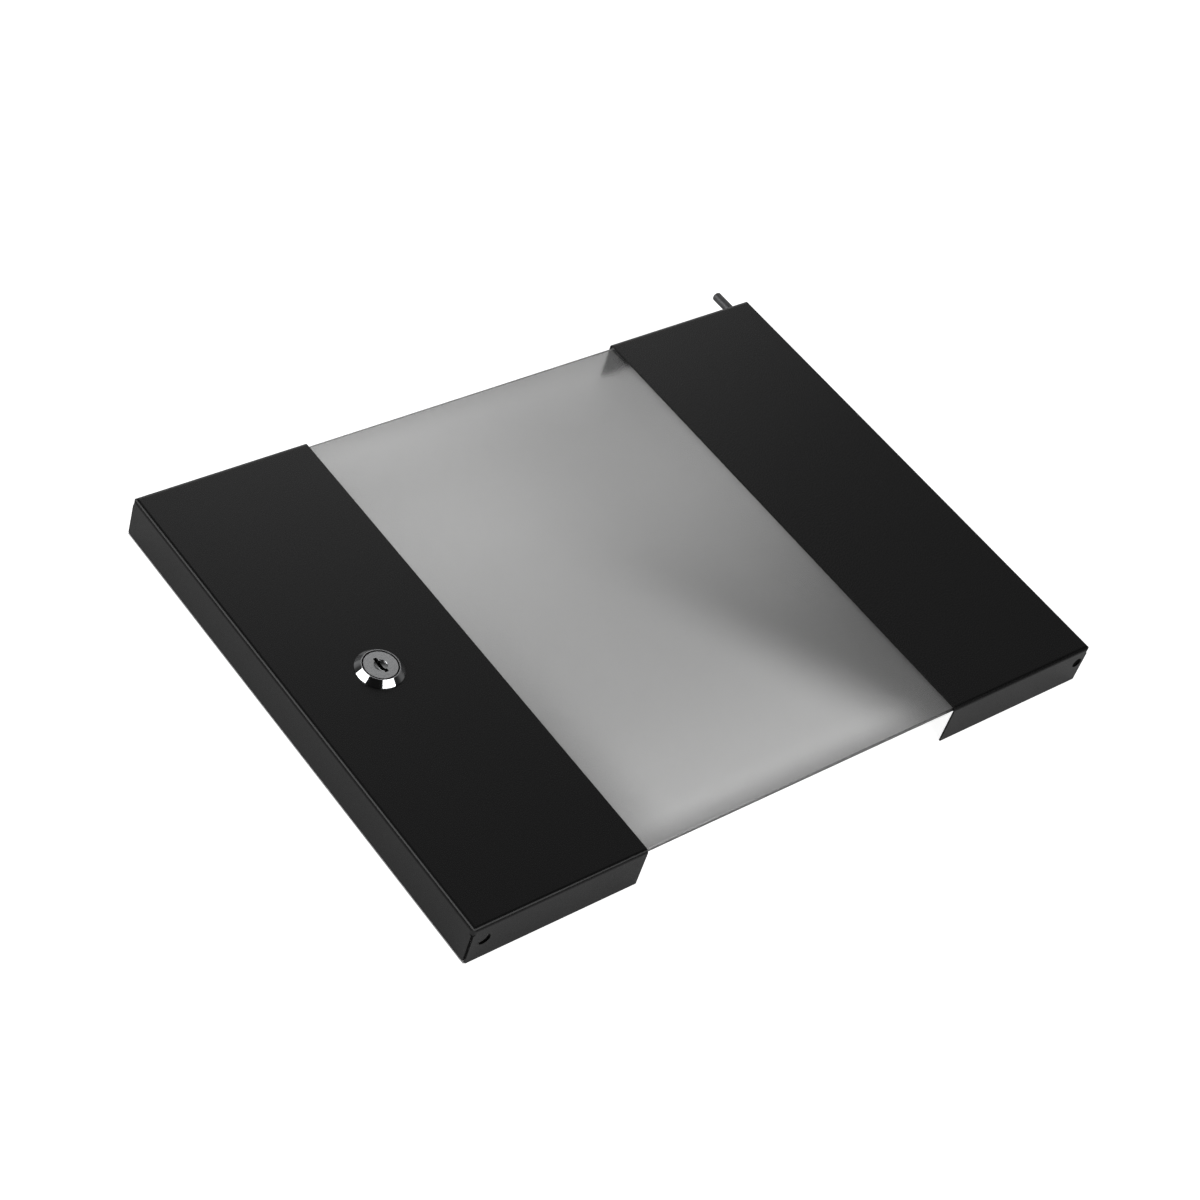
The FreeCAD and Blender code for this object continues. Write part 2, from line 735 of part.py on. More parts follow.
def cam_screw():
    """The pan-head screw with a cross recess that holds the cam on the tail."""
    body = new_body("cam_screw", lock_x, lock_y, front + split_rear)
    section = new_sketch(body, "screw_section", "XZ_Plane")
    shank = size.screw_diameter / 2
    head = size.screw_head_diameter / 2
    end = size.split_thickness + size.screw_length - 2 * size.screw_gap
    draw_outline(
        section,
        [
            (0, -size.screw_head_height),
            (head, -size.screw_head_height),
            (head, 0),
            (shank, 0),
            (shank, end),
            (0, end),
        ],
    )
    add_turning(body, section)

    def on_head_rim(spot):
        return near(spot.z, -size.screw_head_height) and abs(spot.y) + abs(spot.x) > shank.value

    add_dress(body, "Fillet", "screw_head_edge", on_head_rim, size.screw_head_round)
    cross = new_sketch(body, "screw_cross", "XY_Plane", -size.screw_head_height)
    arm = size.screw_cross_length / 2
    half = size.screw_cross_width / 2
    draw_outline(
        cross,
        [
            (arm, -half),
            (arm, half),
            (half, half),
            (half, arm),
            (-half, arm),
            (-half, half),
            (-arm, half),
            (-arm, -half),
            (-half, -half),
            (-half, -arm),
            (half, -arm),
            (half, -half),
        ],
    )
    add_pocket(body, cross, size.screw_cross_depth, backward=True)


def hinge_pin():
    """The turned pin with its thinner nose, bent at the lower end into a finger lever."""
    body = new_body("hinge_pin", 0, 0, 0)
    bend_start = bracket_seat - size.bracket_sheet - size.lever_drop + size.lever_bend_radius
    shoulder = size.door_height + size.nose_shoulder
    tip = size.door_height + size.nose_reach
    radius = size.pin_diameter / 2
    nose = size.nose_diameter / 2

    section = new_sketch(body, "pin_section", "XY_Plane")
    draw_outline(
        section,
        [
            (0, bend_start),
            (radius, bend_start),
            (radius, shoulder),
            (nose, shoulder),
            (nose, tip),
            (0, tip),
        ],
    )
    add_turning(body, section)

    def on_tip(spot):
        return near(spot.y, tip) and not (near(spot.x, 0) and near(spot.z, 0))

    add_dress(body, "Fillet", "nose_round", on_tip, size.nose_round)

    # the bend turns the rod from -Y to -X about an axis beside it
    ring = new_sketch(body, "lever_bend_section", "XZ_Plane", -bend_start)
    draw_circle(ring, 0, 0, size.pin_diameter)
    aside = -size.lever_bend_radius
    ends = [Vector(aside.value, side * size.pin_diameter.value, 0) for side in (-1, 1)]
    pivot = ring.addGeometry(Part.LineSegment(*ends), True)
    hold(ring, pivot, 1, aside, -size.pin_diameter)
    hold(ring, pivot, 2, aside, size.pin_diameter)
    bend = body.newObject("PartDesign::Revolution", "lever_bend")
    bend.Profile = ring
    bend.ReferenceAxis = (ring, ["Axis0"])
    bend.Angle = LEVER_BEND_DEG
    bend.Reversed = True
    doc.recompute()

    lever = new_sketch(body, "lever_section", "YZ_Plane", -size.lever_bend_radius)
    draw_circle(lever, bend_start - size.lever_bend_radius, 0, size.pin_diameter)
    add_pad(body, lever, size.lever_reach - size.lever_bend_radius, backward=True)

    def on_lever_rim(spot):
        return near(spot.x, -size.lever_reach)

    add_dress(body, "Fillet", "lever_end", on_lever_rim, size.lever_end_round)


def pin_collar():
    """The ring pressed on the pin, which the spring pushes towards the end flange."""
    body = new_body("pin_collar", 0, flange_inside - size.collar_gap, 0)
    ring = new_sketch(body, "collar_ring", "XZ_Plane")
    draw_circle(ring, 0, 0, size.collar_diameter)
    draw_circle(ring, 0, 0, size.pin_diameter)
    add_pad(body, ring, size.collar_width)


def hinge_spring():
    """The compression spring round the pin, from the bracket up to the collar."""
    body = new_body("hinge_spring", 0, bracket_seat, 0)
    wire = new_sketch(body, "spring_wire_section", "XY_Plane")
    half_wire = size.spring_wire / 2
    draw_circle(wire, size.pin_diameter / 2 + size.spring_gap + half_wire, half_wire, size.spring_wire)
    coil = body.newObject("PartDesign::AdditiveHelix", "spring_coil")
    coil.Profile = wire
    coil.ReferenceAxis = (wire, ["V_Axis"])
    coil.Mode = "height-turns-angle"
    bind(coil, "Height", size.spring_length - size.spring_wire)
    coil.Turns = SPRING_TURNS
    doc.recompute()


def pin_bracket():
    """The folded angle welded behind the plate: its foot lies on the plate, its tab guides the pin."""
    right = size.hinge_side - size.sheet - size.bracket_side_gap
    body = new_body("pin_bracket", right, bracket_seat, plate_back)
    angle = new_sketch(body, "bracket_angle", "YZ_Plane")
    thick = size.bracket_sheet
    draw_outline(
        angle,
        [
            (0, 0),
            (0, -size.bracket_drop),
            (-thick, -size.bracket_drop),
            (-thick, -thick),
            (-size.bracket_foot, -thick),
            (-size.bracket_foot, 0),
        ],
    )
    add_pad(body, angle, size.bracket_width, backward=True)

    def on_outer_fold(spot):
        return near(spot.y, 0) and near(spot.z, 0)

    def on_inner_fold(spot):
        return near(spot.y, -thick) and near(spot.z, -thick)

    def on_free_corner(spot):
        at_side = near(spot.x, 0) or near(spot.x, -size.bracket_width)
        return at_side and (near(spot.z, -size.bracket_drop) or near(spot.y, -size.bracket_foot))

    add_dress(body, "Fillet", "bracket_bend", on_outer_fold, size.bracket_bend_radius)
    add_dress(body, "Fillet", "bracket_inner_bend", on_inner_fold, size.bracket_bend_radius - thick)
    add_dress(body, "Fillet", "bracket_corners", on_free_corner, size.bracket_corner_radius)
    hole = new_sketch(body, "bracket_hole", "XZ_Plane")
    draw_circle(hole, -right, -plate_back, pin_bore)
    add_pocket(body, hole, backward=True)

    # the corner cut off where the foot lies in the stile's bend
    relief = new_sketch(body, "bracket_relief", "XZ_Plane")
    cut = size.bend_radius - size.sheet
    draw_outline(relief, [(0, 0), (-cut, 0), (0, -cut)])
    add_pocket(body, relief, backward=True)


lock_stile()
hinge_stile()
glass_pane()
tape("lock_side_tape", lock_face + size.stile_width - size.tape_margin - size.tape_width)
tape("hinge_side_tape", size.hinge_side - size.stile_width + size.tape_margin)
lock_housing()
lock_plug()
lock_washer()
lock_nut()
stop_washer()
lock_cam()
cam_spring_washer()
cam_screw()
hinge_pin()
pin_collar()
hinge_spring()
pin_bracket()
doc.recompute()

failed = [thing.Label for thing in doc.Objects if {"Invalid", "Error"} & set(thing.State)]
failed += [node.Label for node in NODES if node.Shape.isNull() or not node.Shape.isValid()]
if failed:
    raise ValueError(f"failed: {failed}")
os.makedirs("parts", exist_ok=True)
for node in NODES:
    node.Shape.exportStep(f"parts/{node.Label}.step")
    print(node.Label, round(node.Shape.Volume, 2), len(node.Shape.Solids))
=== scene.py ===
import bpy
import numpy as np
from mathutils import Matrix, Vector


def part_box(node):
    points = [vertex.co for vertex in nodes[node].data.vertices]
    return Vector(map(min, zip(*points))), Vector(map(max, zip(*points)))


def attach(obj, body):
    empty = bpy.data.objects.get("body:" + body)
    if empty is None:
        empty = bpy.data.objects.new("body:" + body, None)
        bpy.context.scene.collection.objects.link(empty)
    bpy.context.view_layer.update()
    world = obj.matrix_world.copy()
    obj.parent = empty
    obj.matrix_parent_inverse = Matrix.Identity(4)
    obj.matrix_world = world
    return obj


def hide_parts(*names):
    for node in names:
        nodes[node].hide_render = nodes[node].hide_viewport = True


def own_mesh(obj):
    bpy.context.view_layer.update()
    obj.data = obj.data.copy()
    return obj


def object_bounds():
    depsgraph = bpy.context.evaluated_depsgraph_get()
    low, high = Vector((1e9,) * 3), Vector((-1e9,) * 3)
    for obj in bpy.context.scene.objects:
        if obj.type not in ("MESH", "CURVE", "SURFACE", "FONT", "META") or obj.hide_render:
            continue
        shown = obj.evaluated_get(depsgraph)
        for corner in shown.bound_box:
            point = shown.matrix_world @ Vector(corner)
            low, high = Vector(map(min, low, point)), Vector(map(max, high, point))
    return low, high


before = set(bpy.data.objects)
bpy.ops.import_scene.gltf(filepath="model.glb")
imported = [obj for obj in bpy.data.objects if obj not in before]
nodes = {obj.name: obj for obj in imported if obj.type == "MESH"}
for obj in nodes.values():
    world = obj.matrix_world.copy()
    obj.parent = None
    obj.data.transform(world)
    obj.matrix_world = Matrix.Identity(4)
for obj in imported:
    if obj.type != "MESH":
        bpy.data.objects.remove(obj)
cad_low, cad_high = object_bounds()


# The two stiles are folded from 0.7 mm sheet steel: a front plate, a long side flange and two end flanges with
# open corners. Each is phosphated and powder coated black in one piece, with a fine satin texture.

def add_node(tree, kind, **inputs):
    """A shader node of this kind, with its input sockets set by name (an underscore stands for a space)."""
    made = tree.nodes.new("ShaderNode" + kind)
    for name, value in inputs.items():
        made.inputs[name.replace("_", " ")].default_value = value
    return made


def feed(tree, socket, source):
    """Gives an input socket its value: a number, a colour of three numbers, or another node's output."""
    if isinstance(source, (int, float)):
        socket.default_value = source
    elif isinstance(source, tuple):
        socket.default_value = (*source, 1)
    else:
        tree.links.new(source, socket)


def blend_colours(tree, share, low, high):
    """The colour that goes from low to high as the share goes from 0 to 1."""
    made = tree.nodes.new("ShaderNodeMix")
    made.data_type = "RGBA"
    colours = [socket for socket in made.inputs if socket.type == "RGBA"]
    feed(tree, colours[0], low)
    feed(tree, colours[1], high)
    feed(tree, made.inputs["Factor"], share)
    return next(socket for socket in made.outputs if socket.type == "RGBA")


def blend_values(tree, share, low, high):
    """The value that goes from low to high as the share goes from 0 to 1."""
    made = add_node(tree, "MapRange")
    feed(tree, made.inputs["Value"], share)
    feed(tree, made.inputs["To Min"], low)
    feed(tree, made.inputs["To Max"], high)
    return made.outputs[0]


def new_group(name, inputs, outputs):
    """An empty shader node group with float sockets, its input node and its output node."""
    group = bpy.data.node_groups.new(name, "ShaderNodeTree")
    for label, value in inputs.items():
        socket = group.interface.new_socket(label, in_out="INPUT", socket_type="NodeSocketFloat")
        socket.default_value = value
    for label in outputs:
        group.interface.new_socket(label, in_out="OUTPUT", socket_type="NodeSocketFloat")
    return group, group.nodes.new("NodeGroupInput"), group.nodes.new("NodeGroupOutput")


def add_group(tree, group, **inputs):
    """The group placed in a material, with its own values."""
    made = tree.nodes.new("ShaderNodeGroup")
    made.node_tree = group
    for label, value in inputs.items():
        made.inputs[label].default_value = value
    return made


GRAIN_DETAIL = 2.0
DRIFT_DETAIL = 3.0


def make_fine_grain():
    """Surface grain: one noise of the grain's own size, and one far larger for the slow drift of a finish."""
    group, given, result = new_group("fine_grain", {"Grain": 3000.0, "Drift": 20.0}, ("Grain", "Drift"))
    place = add_node(group, "TexCoord").outputs["Object"]
    for label, detail in (("Grain", GRAIN_DETAIL), ("Drift", DRIFT_DETAIL)):
        noise = add_node(group, "TexNoise", Detail=detail)
        group.links.new(place, noise.inputs["Vector"])
        group.links.new(given.outputs[label], noise.inputs["Scale"])
        group.links.new(noise.outputs[0], result.inputs[label])
    return group


def new_finish(name, **fixed):
    """A material, its node tree and its Principled BSDF, with the sockets that are the same all over set."""
    finish = bpy.data.materials.new(name)
    finish.use_nodes = True
    surface = finish.node_tree.nodes["Principled BSDF"]
    for label, value in fixed.items():
        surface.inputs[label.replace("_", " ")].default_value = value
    return finish, finish.node_tree, surface


def add_bump(tree, surface, height, distance, strength):
    """Relief of the given height in metres on the material's normal."""
    bump = add_node(tree, "Bump", Distance=distance, Strength=strength)
    tree.links.new(height, bump.inputs["Height"])
    tree.links.new(bump.outputs[0], surface.inputs["Normal"])


def paint(finish, *names):
    """Gives CAD nodes this material in every slot."""
    for name in names:
        slots = nodes[name].data.materials
        slots.clear()
        slots.append(finish)


fine_grain = make_fine_grain()

COAT_GRAIN = 2600.0
COAT_DRIFT = 16.0
COAT_RELIEF = 0.00003
COAT_RELIEF_STRENGTH = 0.4
COAT_BLACKS = (0.0055, 0.0055, 0.0056), (0.0071, 0.0071, 0.0072)
COAT_ROUGHNESS = 0.24, 0.30
powder_coat, tree, surface = new_finish("black_powder_coat", Specular_IOR_Level=0.26)
grain = add_group(tree, fine_grain, Grain=COAT_GRAIN, Drift=COAT_DRIFT)
tree.links.new(blend_colours(tree, grain.outputs["Drift"], *COAT_BLACKS), surface.inputs["Base Color"])
tree.links.new(blend_values(tree, grain.outputs["Grain"], *COAT_ROUGHNESS), surface.inputs["Roughness"])
add_bump(tree, surface, grain.outputs["Grain"], COAT_RELIEF, COAT_RELIEF_STRENGTH)
paint(powder_coat, "lock_stile", "hinge_stile")


# The pane is one plate of 2 mm grey glass, hazed by a light satin etch, with its edges ground.
# It lies behind both front plates, between the end flanges.

def add_math(tree, operation, first, second=0.0):
    """A Math node fed by one or two sockets or plain numbers."""
    made = add_node(tree, "Math")
    made.operation = operation
    feed(tree, made.inputs[0], first)
    feed(tree, made.inputs[1], second)
    return made.outputs[0]


GLASS_GRAIN = 5200.0
GLASS_DRIFT = 9.0
GLASS_RELIEF = 0.00001
GLASS_RELIEF_STRENGTH = 0.2
GLASS_TINTS = (0.55, 0.55, 0.548), (0.57, 0.57, 0.568)
GLASS_EDGE_TINT = 0.27, 0.27, 0.27
GLASS_FACE_UPRIGHT = 0.9
GLASS_ROUGHNESS = 0.17, 0.21
satin_glass, tree, surface = new_finish("satin_grey_glass", IOR=1.5, Transmission_Weight=0.88)
grain = add_group(tree, fine_grain, Grain=GLASS_GRAIN, Drift=GLASS_DRIFT)
tint = blend_colours(tree, grain.outputs["Drift"], *GLASS_TINTS)
facing = add_node(tree, "SeparateXYZ")
tree.links.new(add_node(tree, "NewGeometry").outputs["True Normal"], facing.inputs[0])
on_face = add_math(tree, "GREATER_THAN", add_math(tree, "ABSOLUTE", facing.outputs["Z"]), GLASS_FACE_UPRIGHT)
tree.links.new(blend_colours(tree, on_face, GLASS_EDGE_TINT, tint), surface.inputs["Base Color"])
tree.links.new(blend_values(tree, grain.outputs["Grain"], *GLASS_ROUGHNESS), surface.inputs["Roughness"])
add_bump(tree, surface, grain.outputs["Grain"], GLASS_RELIEF, GLASS_RELIEF_STRENGTH)
paint(satin_glass, "glass_pane")


# Two strips of black acrylic foam tape, 16 mm wide, bond the pane to the backs of the plates.
# The foam's fine cells show on its cut edges.

TAPE_CELLS = 4200.0
TAPE_DRIFT = 60.0
TAPE_RELIEF = 0.00006
TAPE_RELIEF_STRENGTH = 0.6
TAPE_BLACKS = (0.014, 0.014, 0.014), (0.030, 0.030, 0.031)
TAPE_ROUGHNESS = 0.72, 0.90
foam_tape, tree, surface = new_finish("black_foam_tape", Specular_IOR_Level=0.3)
grain = add_group(tree, fine_grain, Grain=TAPE_CELLS, Drift=TAPE_DRIFT)
tree.links.new(blend_colours(tree, grain.outputs["Grain"], *TAPE_BLACKS), surface.inputs["Base Color"])
tree.links.new(blend_values(tree, grain.outputs["Drift"], *TAPE_ROUGHNESS), surface.inputs["Roughness"])
add_bump(tree, surface, grain.outputs["Grain"], TAPE_RELIEF, TAPE_RELIEF_STRENGTH)
paint(foam_tape, "lock_side_tape", "hinge_side_tape")


# The lock's housing is die cast and chromed: a bevelled bezel in front of the plate, and behind it a flatted
# barrel. Its core is chromed too. The bevel is polished, the flat front is faced, and the gap round the core
# is darkened with painted shade.

housing_low, housing_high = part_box("lock_housing")
lock_centre = (housing_low + housing_high) / 2
plug_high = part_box("lock_plug")[1]
GAP_RADIUS = 0.00657
GAP_HALF = 0.00029
GAP_DEPTH = 0.003
FACED_DEPTH = 0.00008


def make_lock_front():
    """Two masks. The first, for painted shade, is 1 in the ring-shaped gap round the core and on its edges:
    close to the gap's radius, and no deeper than the gap. Faced is 1 on the flat front, above the bevel."""
    group, _, result = new_group("lock_front", {}, ("GapShade", "Faced"))
    place = add_node(group, "SeparateXYZ")
    group.links.new(add_node(group, "TexCoord").outputs["Object"], place.inputs[0])
    across = add_math(group, "SUBTRACT", place.outputs["X"], lock_centre.x)
    along = add_math(group, "SUBTRACT", place.outputs["Y"], lock_centre.y)
    squares = [add_math(group, "POWER", length, 2.0) for length in (across, along)]
    radius = add_math(group, "SQRT", add_math(group, "ADD", *squares))
    off = add_math(group, "SUBTRACT", radius, GAP_RADIUS)
    near_gap = add_math(group, "LESS_THAN", add_math(group, "ABSOLUTE", off), GAP_HALF)
    in_front = add_math(group, "GREATER_THAN", place.outputs["Z"], plug_high.z - GAP_DEPTH)
    group.links.new(add_math(group, "MULTIPLY", near_gap, in_front), result.inputs["GapShade"])
    faced = add_math(group, "GREATER_THAN", place.outputs["Z"], housing_high.z - FACED_DEPTH)
    group.links.new(faced, result.inputs["Faced"])
    return group


lock_front = make_lock_front()
# painted shade: the chrome turns near black in the gap round the core and on its edges
GAP_SHADE_TONE = 0.012, 0.012, 0.012
CHROME_MARKS = 900.0
CHROME_DRIFT = 120.0
CHROME_TONES = (0.60, 0.61, 0.62), (0.66, 0.66, 0.67)
CHROME_ROUGHNESS = 0.05, 0.11
FACED_ROUGHNESS = 0.16, 0.24
for name, roughness, node in (
    ("polished_chrome", CHROME_ROUGHNESS, "lock_housing"),
    ("faced_chrome", FACED_ROUGHNESS, "lock_plug"),
):
    chrome, tree, surface = new_finish(name, Metallic=1.0)
    grain = add_group(tree, fine_grain, Grain=CHROME_MARKS, Drift=CHROME_DRIFT)
    front = add_group(tree, lock_front)
    bare = blend_colours(tree, grain.outputs["Drift"], *CHROME_TONES)
    # the gap mask lays the painted shade over the bare chrome
    tone = blend_colours(tree, front.outputs["GapShade"], bare, GAP_SHADE_TONE)
    tree.links.new(tone, surface.inputs["Base Color"])
    rough = blend_values(tree, grain.outputs["Grain"], *roughness)
    faced = blend_values(tree, grain.outputs["Grain"], *FACED_ROUGHNESS)
    tree.links.new(blend_values(tree, front.outputs["Faced"], rough, faced), surface.inputs["Roughness"])
    paint(chrome, node)


# The barrel's thread is cast with the housing, chromed like it and broken by the two flats.
# It takes the nut, and stops short of the stop washer.

THREAD_RADIUS = 0.0078
THREAD_SINK = 0.00002
THREAD_HEIGHT = 0.00012
THREAD_PITCH = 0.0008
THREAD_WALL = 0.0004
THREAD_AROUND = 144
THREAD_STEPS = 12
FLAT_HALF = 0.00682
FLAT_END = 0.1
STOP_CLEAR = 0.0002


def threaded_sleeve(centre, low, high):
    """A ring with a threaded outside. Outside radius = the barrel's radius + a ridge that rises and falls once
    a pitch, shifted by one pitch each turn, no further out than the flats. The inside lies in the barrel."""
    turn = np.linspace(0, 2 * np.pi, THREAD_AROUND, endpoint=False)
    rows = int(round((high - low) / THREAD_PITCH * THREAD_STEPS)) + 1
    height = np.linspace(low, high, rows)
    phase = height[:, None] / THREAD_PITCH - turn[None, :] / (2 * np.pi)
    ridge = 1 - np.abs(2 * (phase % 1) - 1)
    fade = np.clip(np.minimum(height - low, high - height) / (THREAD_PITCH / 2), 0, 1)[:, None]
    flats = FLAT_HALF / np.maximum(np.abs(np.cos(turn)), FLAT_END)
    outside = np.minimum(THREAD_RADIUS - THREAD_SINK + THREAD_HEIGHT * ridge * fade, flats[None, :])
    inside = np.minimum(THREAD_RADIUS, flats)[None, :] - THREAD_WALL
    radius = np.vstack([inside, outside, inside])
    level = np.concatenate([[low], height, [high]])[:, None]
    across = centre[0] + radius * np.cos(turn)
    along = centre[1] + radius * np.sin(turn)
    return np.stack([across, along, np.broadcast_to(level, radius.shape)], axis=-1)


def shell_from_grid(name, spots, wrap_rows):
    """A mesh from a grid of points that closes round its columns, and round its rows too where wrap_rows is
    set. Otherwise each end row is closed by one flat face."""
    rows, columns = spots.shape[:2]
    number = np.arange(rows * columns).reshape(rows, columns)
    following = np.roll(number, -1, axis=0) if wrap_rows else number[1:]
    first = number if wrap_rows else number[:-1]
    quads = np.stack([first, np.roll(first, -1, 1), np.roll(following, -1, 1), following], -1).reshape(-1, 4)
    faces = quads.tolist()
    if not wrap_rows:
        faces += [number[0][::-1].tolist(), number[-1].tolist()]
    mesh = bpy.data.meshes.new(name)
    mesh.from_pydata(spots.reshape(-1, 3).tolist(), [], faces)
    mesh.update()
    piece = bpy.data.objects.new(name, mesh)
    bpy.context.scene.collection.objects.link(piece)
    return piece


nut_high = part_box("lock_nut")[1]
stop_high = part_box("stop_washer")[1]
sleeve = threaded_sleeve(lock_centre, stop_high.z + STOP_CLEAR, nut_high.z)
thread = shell_from_grid("lock_thread", sleeve, True)
thread.data.materials.append(bpy.data.materials["polished_chrome"])
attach(thread, "door")


# Washer, nut, stop washer, cam, split washer and screw are stamped or turned steel, zinc plated and
# passivated. The nut clamps the lock to the plate, and the screw holds the cam on the core's square tail.

BLOOM_DETAIL = 4.0
BLOOM_DISTORTION = 1.2
BLOOM_SPREAD = -0.4, 1.4


def make_zinc_bloom():
    """The cloudy bloom of zinc plating: a coarse noise bent by a finer one, spread to between 0 and 1."""
    group, given, result = new_group("zinc_bloom", {"Cloud": 300.0}, ("Bloom",))
    noise = add_node(group, "TexNoise", Detail=BLOOM_DETAIL, Distortion=BLOOM_DISTORTION)
    group.links.new(add_node(group, "TexCoord").outputs["Object"], noise.inputs["Vector"])
    group.links.new(given.outputs["Cloud"], noise.inputs["Scale"])
    group.links.new(blend_values(group, noise.outputs[0], *BLOOM_SPREAD), result.inputs["Bloom"])
    return group


ZINC_CLOUD = 420.0
ZINC_GRAIN = 6000.0
ZINC_RELIEF = 0.00001
ZINC_RELIEF_STRENGTH = 0.3
ZINC_TONES = (0.50, 0.51, 0.54), (0.66, 0.66, 0.66)
ZINC_ROUGHNESS = 0.26, 0.42
zinc_bloom = make_zinc_bloom()
zinc_plate, tree, surface = new_finish("zinc_plate", Metallic=1.0)
bloom = add_group(tree, zinc_bloom, Cloud=ZINC_CLOUD)
grain = add_group(tree, fine_grain, Grain=ZINC_GRAIN)
tree.links.new(blend_colours(tree, bloom.outputs["Bloom"], *ZINC_TONES), surface.inputs["Base Color"])
tree.links.new(blend_values(tree, bloom.outputs["Bloom"], *ZINC_ROUGHNESS), surface.inputs["Roughness"])
add_bump(tree, surface, grain.outputs["Grain"], ZINC_RELIEF, ZINC_RELIEF_STRENGTH)
paint(zinc_plate, "lock_washer", "lock_nut", "stop_washer", "lock_cam", "cam_spring_washer", "cam_screw")


# The hinge pin is drawn steel rod, turned down to its nose and bent to a finger lever. Its collar is pressed
# on. Both are oiled bare steel, with fine rings from the lathe.

RING_DETAIL = 2.0


def make_turned_rings():
    """Lathe marks: a noise of one dimension that changes fast along the pin and not at all across it."""
    group, given, result = new_group("turned_rings", {"Rings": 5000.0}, ("Rings",))
    place = add_node(group, "SeparateXYZ")
    group.links.new(add_node(group, "TexCoord").outputs["Object"], place.inputs[0])
    along = add_math(group, "MULTIPLY", place.outputs["Y"], given.outputs["Rings"])
    noise = add_node(group, "TexNoise", Scale=1.0, Detail=RING_DETAIL)
    noise.noise_dimensions = "1D"
    group.links.new(along, noise.inputs["W"])
    group.links.new(noise.outputs[0], result.inputs["Rings"])
    return group


PIN_RINGS = 5200.0
PIN_DRIFT = 180.0
PIN_RELIEF = 0.00001
PIN_RELIEF_STRENGTH = 0.3
PIN_TONES = (0.13, 0.13, 0.135), (0.19, 0.19, 0.195)
PIN_ROUGHNESS = 0.50, 0.62
turned_rings = make_turned_rings()
pin_steel, tree, surface = new_finish("oiled_pin_steel", Metallic=1.0)
rings = add_group(tree, turned_rings, Rings=PIN_RINGS)
grain = add_group(tree, fine_grain, Drift=PIN_DRIFT)
tree.links.new(blend_colours(tree, grain.outputs["Drift"], *PIN_TONES), surface.inputs["Base Color"])
tree.links.new(blend_values(tree, rings.outputs["Rings"], *PIN_ROUGHNESS), surface.inputs["Roughness"])
add_bump(tree, surface, rings.outputs["Rings"], PIN_RELIEF, PIN_RELIEF_STRENGTH)
paint(pin_steel, "hinge_pin", "pin_collar")


# The pin's compression spring is coiled from 0.4 mm spring wire, with its end turns closed.
# It sits on the bracket and pushes the collar towards the end flange.

SPRING_WIRE = 0.0004
SPRING_TURNS = 11
SPRING_CLOSED_TURNS = 1.25
SPRING_AROUND = 10
SPRING_STEPS = 40


def closed_end_coil(radius, low, high):
    """A round wire on a coil about the hinge axis. Height along the coil = the running sum of a pitch that is
    one wire at the closed ends and wider between. The wire's circle stands on the radius and on the direction
    across it."""
    share = np.linspace(0, SPRING_TURNS, SPRING_TURNS * SPRING_STEPS + 1)
    from_end = np.minimum(share, SPRING_TURNS - share)
    open_part = np.clip(from_end - SPRING_CLOSED_TURNS, 0, 1)
    open_part = open_part**2 * (3 - 2 * open_part)
    step = np.diff(share)
    halves = (open_part[1:] + open_part[:-1]) / 2
    rise = high - low - SPRING_WIRE
    spare = rise - SPRING_WIRE * SPRING_TURNS
    climb = SPRING_WIRE * step + spare * halves * step / np.sum(halves * step)
    height = low + SPRING_WIRE / 2 + np.concatenate([[0], np.cumsum(climb)])
    turn = 2 * np.pi * share
    outward = np.stack([np.cos(turn), np.zeros_like(turn), np.sin(turn)], -1)
    centre = radius * outward + np.stack([np.zeros_like(turn), height, np.zeros_like(turn)], -1)
    forward = np.gradient(centre, axis=0)
    forward /= np.linalg.norm(forward, axis=1, keepdims=True)
    across = np.cross(forward, outward)
    around = np.linspace(0, 2 * np.pi, SPRING_AROUND, endpoint=False)
    ring = np.cos(around)[None, :, None] * outward[:, None] + np.sin(around)[None, :, None] * across[:, None]
    return centre[:, None] + SPRING_WIRE / 2 * ring


spring_low, spring_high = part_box("hinge_spring")
coil = closed_end_coil(spring_high.x - SPRING_WIRE / 2, spring_low.y, spring_high.y)
hinge_coil = shell_from_grid("hinge_coil", coil, False)
hinge_coil.data.polygons.foreach_set("use_smooth", np.ones(len(hinge_coil.data.polygons), bool))
SPRING_TONES = (0.20, 0.20, 0.21), (0.30, 0.30, 0.31)
SPRING_ROUGHNESS = 0.24, 0.36
SPRING_DRIFT = 700.0
spring_wire, tree, surface = new_finish("spring_wire", Metallic=1.0)
grain = add_group(tree, fine_grain, Drift=SPRING_DRIFT)
tree.links.new(blend_colours(tree, grain.outputs["Drift"], *SPRING_TONES), surface.inputs["Base Color"])
tree.links.new(blend_values(tree, grain.outputs["Drift"], *SPRING_ROUGHNESS), surface.inputs["Roughness"])
hinge_coil.data.materials.append(spring_wire)
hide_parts("hinge_spring")
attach(hinge_coil, "door")
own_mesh(hinge_coil)


# The bracket is a folded angle of 1.5 mm steel, spot welded to the plate before the stile is coated,
# so it has the same coat. Its tab guides the pin and carries the spring.

paint(powder_coat, "pin_bracket")


# The floor is a white table top under the flanges' rims, which under the pane carries painted light and a
# painted shadow. It is not part of the door. From underneath it is clear, and the lamp below shines through
# it, so that the back of the door can be looked at.

FLOOR_HALF = 4.0
FLOOR_CORNERS = (-1, -1), (1, -1), (1, 1), (-1, 1)
FLOOR_WHITE = 0.86
floor_mesh = bpy.data.meshes.new("floor")
floor_spots = [(x * FLOOR_HALF, y * FLOOR_HALF, cad_low.z) for x, y in FLOOR_CORNERS]
floor_mesh.from_pydata(floor_spots, [], [(0, 1, 2, 3)])
floor = bpy.data.objects.new("floor", floor_mesh)
bpy.context.scene.collection.objects.link(floor)
floor_finish, tree, surface = new_finish("white_table", Roughness=0.9, Specular_IOR_Level=0.0)
surface.inputs["Base Color"].default_value = (FLOOR_WHITE, FLOOR_WHITE, FLOOR_WHITE, 1)
surface.inputs["Emission Color"].default_value = (1, 1, 1, 1)
ray = add_node(tree, "LightPath")
floor_place = add_node(tree, "SeparateXYZ")
